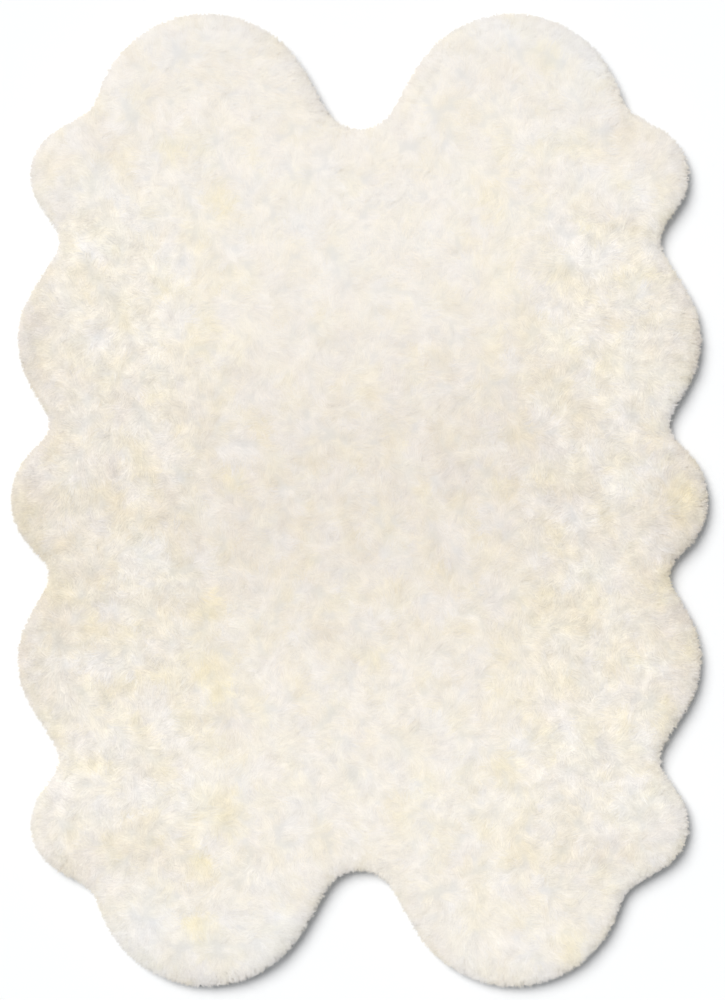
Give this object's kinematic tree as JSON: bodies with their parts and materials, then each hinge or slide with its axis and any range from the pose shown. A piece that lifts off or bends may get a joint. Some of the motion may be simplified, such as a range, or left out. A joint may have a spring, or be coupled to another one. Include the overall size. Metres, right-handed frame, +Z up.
{
  "type": "sheepskin rug",
  "caption": "Flat sheepskin rug with scalloped sides and rounded lobes at each end, its hides sewn edge to edge under long ivory wool.",
  "frame": {"origin": "on the floor, under the point where the two seams cross, which is the middle of the rug", "axes": "+Z up, wool side up; +Y along the rug to its head end; +X across it to the right"},
  "size_m": [1.304, 1.8198, 0.05],
  "materials": {
    "wool": "long combed sheep's wool, matt with a faint silky sheen, ivory with golden and beige patches",
    "suede": "tanned sheep leather, flesh side out, matt suede nap"
  },
  "bodies": {
    "root": {"fleece_head_left": "wool", "hide_head_left": "suede", "fleece_head_right": "wool", "hide_head_right": "suede", "fleece_foot_left": "wool", "hide_foot_left": "suede", "fleece_foot_right": "wool", "hide_foot_right": "suede"}
  },
  "joints": []
}
